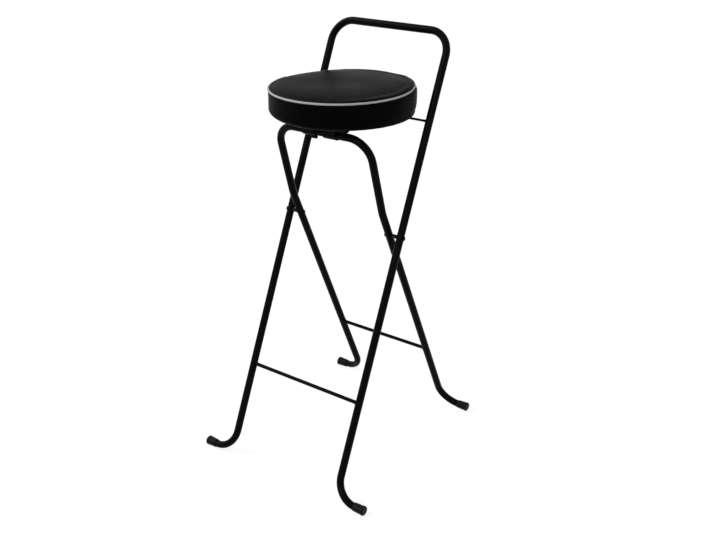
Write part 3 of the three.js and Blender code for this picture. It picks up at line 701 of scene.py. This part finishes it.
def make_hinge():
    paint = paint_material("bracket_paint", 0.34, (0.0018, 0.0018, 0.002), (0.0036, 0.0036, 0.0039))
    finish_piece(make_bracket(), paint, "bracket_paint", "seat", "hinge_bracket")

    outline = [(TOP_Y + y, TOP_Z + z) for y, z in strap_outline()]
    for side, word in SIDES:
        x_from, x_to = side * STRAP_X - STRAP_HALF_WIDTH, side * STRAP_X + STRAP_HALF_WIDTH
        saddle = prism(f"hinge_saddle_{word}_strap", outline, x_from, x_to, PLATE_BEVEL)
        if word == "left":
            join_into(saddle, strap_lug())
        finish_piece(saddle, paint, "bracket_paint", "seat", f"hinge_saddle_{word}")

    outline = [(ROD_Y + y, ROD_Z + z) for y, z in hook_outline()]
    y0, y1 = ROD_Y - HOOK_HALF, ROD_Y + HOOK_HALF
    top = ROD_Z + (ROD_DROP - CLEARANCE)
    flange = [(y0, top - SHEET), (y1, top - SHEET), (y1, top), (y0, top)]
    for side, word in SIDES:
        x_from, x_to = sorted((side * (HOOK_OUT - SHEET), side * HOOK_OUT))
        plate = prism(f"rear_hook_{word}_plate", outline, x_from, x_to, PLATE_BEVEL)
        x_from, x_to = sorted((side * HOOK_IN, side * HOOK_OUT))
        join_into(plate, prism("flange", flange, x_from, x_to, PLATE_BEVEL))
        finish_piece(plate, paint, "bracket_paint", "seat", f"rear_hook_{word}")


HEAD_STEPS = (0.3, 0.6, 0.9, 1.2, 1.5)  # radians from a rivet head's pole


def make_fasteners():
    zinc = zinc_material()
    low, high = TUBE_R - SHEET - 0.2, STRAP_OUT + 0.2
    head = [(RIVET_HEAD_R * math.sin(t), RIVET_HEAD * math.cos(t)) for t in HEAD_STEPS]
    profile = [(0, low - RIVET_HEAD)] + [(r, low - h) for r, h in head] + [(RIVET_R, low), (RIVET_R, high)]
    profile += [(r, high + h) for r, h in reversed(head)] + [(0, high + RIVET_HEAD)]
    screws = []
    for side, word in SIDES:
        for way, end in ENDS:
            name = f"saddle_rivet_{word}_{end}"
            place = along_y(side * STRAP_X, TOP_Y, TOP_Z + RIVET_UP, way)
            rivet = lathe(f"{name}_head", profile, 32, place, sharp=35)
            finish_piece(rivet, zinc, "fastener_zinc", "seat", name)
            tab_y = TOP_Y + way * (TUBE_R + TAB_REACH / 2)
            hook_x, hook_y = side * (HOOK_IN + HOOK_OUT) / 2, ROD_Y + way * HOOK_SCREW_OFF
            screws.append((f"bracket_screw_{word}_{end}", side * TAB_X, tab_y))
            screws.append((f"hook_screw_{word}_{end}", hook_x, hook_y))
    for index, (name, x, y) in enumerate(screws):
        screw = make_screw(f"{name}_head", x, y, BOARD_Z - CLEARANCE - SHEET, 0.4 + 0.7 * index)
        finish_piece(screw, zinc, "fastener_zinc", "seat", name)


def make_screw(name, x, y, z, turn):
    """A pan head wood screw that points up, with a cross recess in its head."""
    rings, sides = 22, 64
    head_r, head, shank_r, length = 3.9, 2.1, 1.6, 9.0
    arm_half, arm_slope, arm_reach, recess = 0.42, 0.22, 2.3, 1.1

    def point(radius, angle, height):
        return x + radius * math.cos(angle), y + radius * math.sin(angle), height

    verts = []
    for i in range(1, rings + 1):
        share = i / rings
        radius = head_r * share
        drop = head * (1 - share**2.6) ** 0.6
        fade = max(0.0, min(1.0, (arm_reach - radius) / 0.3))
        for angle in circle(sides):
            off_axis = min(abs(radius * math.cos(angle - turn)), abs(radius * math.sin(angle - turn)))
            cut = recess * max(0.0, 1 - max(0.0, off_axis - arm_half) / arm_slope) * fade
            verts.append(point(radius, angle, z - drop + min(1.0, cut)))
    for radius, height in ((shank_r, 0.02), (shank_r, length - shank_r), (0.05, length)):
        verts += [point(radius, angle, z + height) for angle in circle(sides)]
    faces = ring_faces(rings + 3, sides)
    verts.append((x, y, z - head + 1.0))
    faces += [(len(verts) - 1, (k + 1) % sides, k) for k in range(sides)]
    faces.append(tuple(range(len(verts) - 1 - sides, len(verts) - 1)))
    return add_mesh(name, verts, faces, sharp=50)


# Cushion. Heights are over the board's underside, and directions are as the camera sees them.
RIGHTWARD = Vector((0.8, 0.6))
REARWARD = Vector((-0.6, 0.8))
BAND_R = SEAT_R + 1.9
BAND_TOP = 47.5
SEAM_Z = BAND_TOP + 2.1 + CLEARANCE
SEAM_SHIFT = -1.25
CROWN = 60.2
PANEL_EDGE, PANEL_EDGE_Z = 145.5, 51.6
SEAM_GROOVE_R = 143.8
PIPING_RING_R = SEAT_R - 1.3
PIPING_R = 2.05
HEM_R, HEM_Z = 120.5, -1.5
HEM_ROUNDING, HEM_RISE = 8.5, 14
RECESS_R, RECESS_Z = 133.2, 9.3
CUSHION_SIDES = 168
CROWN_RINGS = 30
FILL_CAP = 5.0  # most that the fill may move a point
# The cushion in the photograph isn't quite round or level. SHIFTS are (height, move rightward), and
# SHOULDER is (share rightward, rise of the top panel's edge).
SHIFTS = ((-2, 0), (10, 0.3), (24, 0.7), (34, 1.1), (43, 1.1), (49, SEAM_SHIFT), (52, -0.9))
SHOULDER = ((-1, -1.2), (-0.4, -0.8), (0, 0.8), (0.3, 1.5), (0.5, 2.1),
            (0.76, 1.7), (0.84, 2.2), (0.92, 3.8), (1, 2.4))
RIGHT_TILT, FRONT_TILT = (math.tan(math.radians(degrees)) for degrees in (0.41, 0.84))
BACK_LEFT = (2.857, 0.45, -1.5)  # where the seam stands lower, in radians from +X, how wide, and by how much
FRONT_RIGHT = (0.644, 0.4, 2.2)  # and where it stands higher


def bell(value, centre, width):
    return math.exp(-(((value - centre) / width) ** 2))


def out_of_level(x, y):
    """How much higher the seam stands at a place, from the seat's centre, than where it is level."""
    edge = min(1.0, math.hypot(x, y) / 120) ** 4
    angle = math.atan2(y, x)
    local = sum(rise * bell(angle, at, width) for at, width, rise in (BACK_LEFT, FRONT_RIGHT))
    return x * RIGHT_TILT - y * FRONT_TILT + local * edge


def cushion_profile():
    """(radius, height, held) from the recess over the board, round the hem and side to the middle of the top.
    held is 1 for a point that stays where it is when the cushion is filled."""
    points = [(r, RECESS_Z, 1) for r in (0.0, 45, 90, 125, RECESS_R)]
    points += [(RECESS_R, 4.5, 1), (RECESS_R, -0.3, 1), (127, -0.3, 1)]
    points += [(HEM_R + 0.1, -0.3, 1), (HEM_R, -1.4, 1)] + [(r, HEM_Z, 1) for r in (125, 130, 135.2)]
    for i in range(1, 9):
        angle = math.radians(-90 + 90 * i / 8)
        radius = BAND_R - HEM_ROUNDING * (1 - math.cos(angle))
        height = HEM_Z + HEM_RISE * (1 + math.sin(angle))
        points.append((radius, height, max(0.0, 1 - i / 3)))
    points += [(BAND_R, z, 0) for z in (17, 22, 27, 31.5, 36, 40.5)]
    points += [(BAND_R - 0.1, 44, 0.3), (BAND_R - 1, 46.4, 1), (BAND_R - 3, 47.6, 1)]
    points += [(SEAM_GROOVE_R, 49.0, 1), (SEAM_GROOVE_R + 0.4, 50.6, 1)]
    points.append((PANEL_EDGE, PANEL_EDGE_Z + 0.3, 0.7))
    rise = CROWN - PANEL_EDGE_Z - 2.4
    for i in range(1, CROWN_RINGS + 1):
        share = math.cos(math.pi / 2 * i / CROWN_RINGS)
        height = PANEL_EDGE_Z + rise * (1 - share**3) ** 0.5
        points.append((PANEL_EDGE * share, height, max(0.0, 0.4 - 0.12 * i)))
    return points


def coordinates(mesh):
    flat = np.zeros(len(mesh.vertices) * 3)
    mesh.vertices.foreach_get("co", flat)
    return flat.reshape(-1, 3)


def puff(obj, held):
    """How far each point moves, in metres, when Cloth pressure fills the cushion without gravity."""
    group = obj.vertex_groups.new(name="held")
    for index, weight in enumerate(held):
        if weight > 0:
            group.add([index], weight, "REPLACE")
    cloth = obj.modifiers.new("fill", "CLOTH")
    settings = cloth.settings
    settings.quality = 6
    settings.mass = 0.3
    settings.tension_stiffness = 18
    settings.compression_stiffness = 18
    settings.shear_stiffness = 8
    settings.bending_stiffness = 1.2
    settings.use_pressure = True
    settings.uniform_pressure_force = 4
    settings.vertex_group_mass = "held"
    settings.effector_weights.gravity = 0
    cloth.collision_settings.use_collision = False
    scene = bpy.context.scene
    for step in range(1, 21):
        scene.frame_set(step)
    filled = coordinates(obj.evaluated_get(bpy.context.evaluated_depsgraph_get()).to_mesh())
    obj.modifiers.remove(cloth)
    scene.frame_set(1)
    shift = filled - coordinates(obj.data)
    length = np.linalg.norm(shift, axis=1, keepdims=True)
    return shift * np.minimum(1.0, FILL_CAP * MM / np.maximum(length, 1e-9))


def make_cushion():
    profile = cushion_profile()
    sides = CUSHION_SIDES
    verts, held = [], []
    for radius, height, hold in profile[1:-1]:
        for angle in circle(sides):
            verts.append((radius * math.cos(angle), SEAT_Y + radius * math.sin(angle), BOARD_Z + height))
            held.append(hold)
    faces = ring_faces(len(profile) - 2, sides)
    first, last = len(verts), len(verts) + 1
    verts += [(0, SEAT_Y, BOARD_Z + profile[0][1]), (0, SEAT_Y, BOARD_Z + profile[-1][1])]
    held += [profile[0][2], profile[-1][2]]
    end = (len(profile) - 3) * sides
    for k in range(sides):
        n = (k + 1) % sides
        faces += [(first, n, k), (last, end + k, end + n)]
    cushion = add_mesh("seat_cushion_cover", verts, faces)

    shape = coordinates(cushion.data)
    shape += puff(cushion, held)
    shape_cushion(shape)
    cushion.data.vertices.foreach_set("co", shape.astype(np.float32).ravel())
    cushion.data.update()
    smoother = cushion.modifiers.new("smoother", "SUBSURF")
    smoother.levels = smoother.render_levels = 1
    replaced = ("seat_foam", "seat_side_band", "seat_top_panel")
    finish_piece(cushion, vinyl_material(), "seat_vinyl", "seat", *replaced)


def dips(marks, angle):
    """How deep the marks (angle, width, depth) are at an angle."""
    total = 0.0
    for at, width, depth in marks:
        gap = (angle - at + math.pi) % (2 * math.pi) - math.pi
        if abs(gap) < 4 * width:
            total += depth * math.exp(-((gap / width) ** 2))
    return total


def shape_cushion(shape):
    """Sets the crown to its height, draws puckers at the seam and pleats at the hem, and follows the
    photographed cushion where it is out of true. shape is the points' places in metres, which it changes."""
    rng = random.Random(7)
    around = 2 * math.pi
    pucker_top = [(rng.uniform(0, around), rng.uniform(0.012, 0.03), rng.uniform(0.2, 0.55))
                  for _ in range(64)]
    pucker_side = [(rng.uniform(0, around), rng.uniform(0.012, 0.03), rng.uniform(0.15, 0.45))
                   for _ in range(56)]
    pleats = [(around * (i + rng.uniform(-0.25, 0.25)) / 44, rng.uniform(0.02, 0.04), rng.uniform(0.5, 1.1))
              for i in range(44)]
    top = shape[:, 2].max() / MM - BOARD_Z
    lift = (CROWN - top) / (top - PANEL_EDGE_Z)
    middle = float(np.float32(SEAT_Y * MM))  # rounded as the mesh's points are
    for index, (x, y, z) in enumerate((shape - (0, middle, 0)) / MM):
        height = z - BOARD_Z
        radius = math.hypot(x, y)
        angle = math.atan2(y, x)
        away = Vector((x, y)).normalized() if radius > 0.001 else Vector((0, 0))
        right, rear = RIGHTWARD.dot(away), REARWARD.dot(away)
        front = max(0.0, -rear)
        out = up = 0.0
        if height > 51.5:  # the top panel: its crown, its puckers and its shoulder
            depth = dips(pucker_top, angle) * math.exp(-max(0.0, 144 - radius) / 7)
            depth *= min(1.0, (height - 51.5) / 1.2)
            up += lift * (height - PANEL_EDGE_Z) - 0.7 * depth
            up += float(np.interp(right, *zip(*SHOULDER))) * bell(radius, 138.5, 7)
        elif 17 < height < BAND_TOP:  # the side band's puckers
            out -= 0.8 * dips(pucker_side, angle) * math.exp(-(BAND_TOP - height) / 6)
        if -2 < height < 24 and radius > 134:  # pleats round the hem
            out -= 0.6 * dips(pleats, angle) * math.exp(-max(0.0, height) / 8)
        if height < -1.2 and radius > 121.5:  # and under it
            up += 0.55 * dips(pleats, angle)
        if height > 48.5:  # the panel's edge lies further in at the front
            out -= 1.1 * front * bell(radius, 145, 4)
        if radius > 135 and height < 14:  # the hem hangs lower and further out at the right
            low = (1 - max(0.0, height) / 14) * min(1.0, (radius - 135) / 4)
            out += right * (1.6 - 0.4 * right) * low**2
            up += (1.5 * front - right * (2 + 0.4 * right)) * low
        if radius > 138 and height < 40:  # the band's foot bulges at the left and draws in at the right
            out += (0.5 * max(0.0, -right) - 2.0 * max(0.0, right) ** 2) * bell(height, 7, 5)
        up += min(1.0, max(0.0, (height - 12) / 38)) * out_of_level(x, y)
        move = away * out + RIGHTWARD * float(np.interp(height, *zip(*SHIFTS))) * min(1.0, radius / 120)
        shape[index] += (move.x * MM, move.y * MM, up * MM)


def make_piping():
    """The welt in the seam: a vinyl cord that waves a little and thins where its ends join, at the back."""
    rng = random.Random(3)
    waves = [(rng.randint(5, 40), rng.uniform(0, 6.28), rng.uniform(0.02, 0.09)) for _ in range(9)]
    count, sides = 300, 16
    verts = []
    for angle in circle(count):
        sway = sum(size * math.sin(n * angle + phase) for n, phase, size in waves)
        rise = sum(size * math.cos(n * angle + 2 * phase) for n, phase, size in waves)
        thick = PIPING_R - 0.3 * bell(angle, math.pi / 2, 0.012)
        for turn in circle(sides):
            radius = PIPING_RING_R + sway * 0.6 + thick * math.cos(turn)
            x, y = radius * math.cos(angle), radius * math.sin(angle)
            z = BOARD_Z + SEAM_Z + out_of_level(x, y) + rise * 0.5 + thick * math.sin(turn)
            verts.append((x + RIGHTWARD.x * SEAM_SHIFT, SEAT_Y + y + RIGHTWARD.y * SEAM_SHIFT, z))
    piping = add_mesh("seat_piping_welt", verts, ring_faces(count, sides, closed_ring=True))
    finish_piece(piping, piping_material(), "piping_vinyl", "seat", "seat_piping")


STAPLE_COUNT, STAPLE_R = 30, 125
STAPLE_PATH = ((-5, 1.0), (-5, 0.1), (-4.6, -0.32), (4.6, -0.32), (5, 0.1), (5, 1.0))  # (along, up)
STAPLE_SECTION = ((-0.5, -0.22), (0.5, -0.22), (0.5, 0.22), (-0.5, 0.22))  # (across, up)


def make_staples():
    """Wire staples that hold the hem under the board."""
    rng = random.Random(11)
    up = Vector((0, 0, 1))
    verts, faces = [], []
    for i in range(STAPLE_COUNT):
        angle = 2 * math.pi * (i + rng.uniform(-0.2, 0.2)) / STAPLE_COUNT
        radius = STAPLE_R + rng.uniform(-1, 1)
        centre = Vector((radius * math.cos(angle), SEAT_Y + radius * math.sin(angle), BOARD_Z + HEM_Z))
        skew = angle + math.pi / 2 + rng.uniform(-0.25, 0.25)
        way = Vector((math.cos(skew), math.sin(skew), 0))
        across = Vector((-way.y, way.x, 0))
        base, sides = len(verts), len(STAPLE_SECTION)
        for t, h in STAPLE_PATH:
            point = centre + way * t + up * h
            verts += [point + across * a + up * b for a, b in STAPLE_SECTION]
        faces += [tuple(base + k for k in face) for face in ring_faces(len(STAPLE_PATH), sides)]
        faces += [tuple(base + k for k in range(sides)), tuple(len(verts) - sides + k for k in range(sides))]
    staples = add_mesh("hem_staples", verts, faces, sharp=30)
    finish_piece(staples, steel_wire_material(), "fastener_zinc", "seat")


def finish_board():
    """The plywood board shows under the seat as the CAD has it."""
    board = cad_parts["seat_board"]
    board.data.materials.clear()
    board.data.materials.append(plywood_material())


# Stage, in metres
FLOOR_HALF = 30.0
FLOOR_GAP = 0.0002
FLOOR_TONE = 0.75
FLOOR_SHADE, FLOOR_GLOW = 0.2, 0.86  # of the floor as it is seen: together about white in full light
WORLD_LIGHT, WORLD_SEEN = 0.5, 1.0


def stage_node(tree, kind, **values):
    made = tree.nodes.new("ShaderNode" + kind)
    for key, value in values.items():
        made.inputs[key].default_value = value
    return made


def by_ray(tree, lighting, seen, output):
    """Gives seen to what the camera, a reflection or a clear body sees, and lighting to all other rays."""
    path = stage_node(tree, "LightPath")
    share = path.outputs["Is Camera Ray"]
    for name in ("Is Glossy Ray", "Is Transmission Ray"):
        either = stage_node(tree, "Math")
        either.operation = "MAXIMUM"
        tree.links.new(share, either.inputs[0])
        tree.links.new(path.outputs[name], either.inputs[1])
        share = either.outputs["Value"]
    mix = stage_node(tree, "MixShader")
    for socket, source in (("Fac", share), (1, lighting.outputs[0]), (2, seen.outputs[0])):
        tree.links.new(source, mix.inputs[socket])
    tree.links.new(mix.outputs[0], stage_node(tree, output).inputs["Surface"])


def make_stage():
    """A pale floor that keeps the shadow, and a plain world. Both are seen as white."""
    s = FLOOR_HALF
    mesh = bpy.data.meshes.new("floor")
    mesh.from_pydata([(-s, -s, 0), (s, -s, 0), (s, s, 0), (-s, s, 0)], [], [(0, 1, 2, 3)])
    floor = bpy.data.objects.new("floor", mesh)
    floor.location.z = -FLOOR_GAP
    bpy.context.scene.collection.objects.link(floor)
    material = bpy.data.materials.new("floor_pale")
    material.use_nodes = True
    tree = material.node_tree
    tree.nodes.clear()
    plain = stage_node(tree, "BsdfDiffuse", Color=(FLOOR_TONE, FLOOR_TONE, FLOOR_TONE, 1))
    shade = stage_node(tree, "BsdfDiffuse", Color=(FLOOR_SHADE, FLOOR_SHADE, FLOOR_SHADE, 1))
    glow = stage_node(tree, "Emission", Strength=FLOOR_GLOW)
    seen = stage_node(tree, "AddShader")
    tree.links.new(shade.outputs[0], seen.inputs[0])
    tree.links.new(glow.outputs[0], seen.inputs[1])
    by_ray(tree, plain, seen, "OutputMaterial")
    mesh.materials.append(material)

    world = bpy.data.worlds.new("studio")
    bpy.context.scene.world = world
    world.use_nodes = True
    tree = world.node_tree
    tree.nodes.clear()
    soft = stage_node(tree, "Background", Color=(1, 1, 1, 1), Strength=WORLD_LIGHT)
    white = stage_node(tree, "Background", Color=(1, 1, 1, 1), Strength=WORLD_SEEN)
    by_ray(tree, soft, white, "OutputWorld")


def add_light(name, kind, way, place=(0, 0, 0), **values):
    """A lamp that shines along way."""
    data = bpy.data.lights.new(name, kind)
    for key, value in values.items():
        setattr(data, key, value)
    lamp = bpy.data.objects.new(name, data)
    lamp.location = place
    lamp.rotation_euler = Vector(way).to_track_quat("-Z", "Y").to_euler()
    bpy.context.scene.collection.objects.link(lamp)


def make_lamps():
    add_light("key_sun", "SUN", (0.8, 0.45, -0.75), energy=1.2, angle=math.radians(25))
    add_light("front_sun", "SUN", (-0.1, 0.81, -0.57), energy=0.5, angle=math.radians(11))
    place, aim = Vector((-2.4, 0.9, 1.7)), Vector((0, 0, 0.8))
    add_light("back_left", "AREA", aim - place, place, shape="RECTANGLE", size=1.0, size_y=1.0, energy=3)


make_camera()
make_stage()
make_lamps()
frame_paint = paint_material("frame_paint", 0.27, (0.0016, 0.0016, 0.0018), (0.0034, 0.0034, 0.0037))
make_frames(frame_paint)
make_foot_caps()
make_pivots(frame_paint)
make_hinge()
make_fasteners()
make_cushion()
make_piping()
make_staples()
finish_board()
bpy.context.scene.view_settings.view_transform = "Standard"
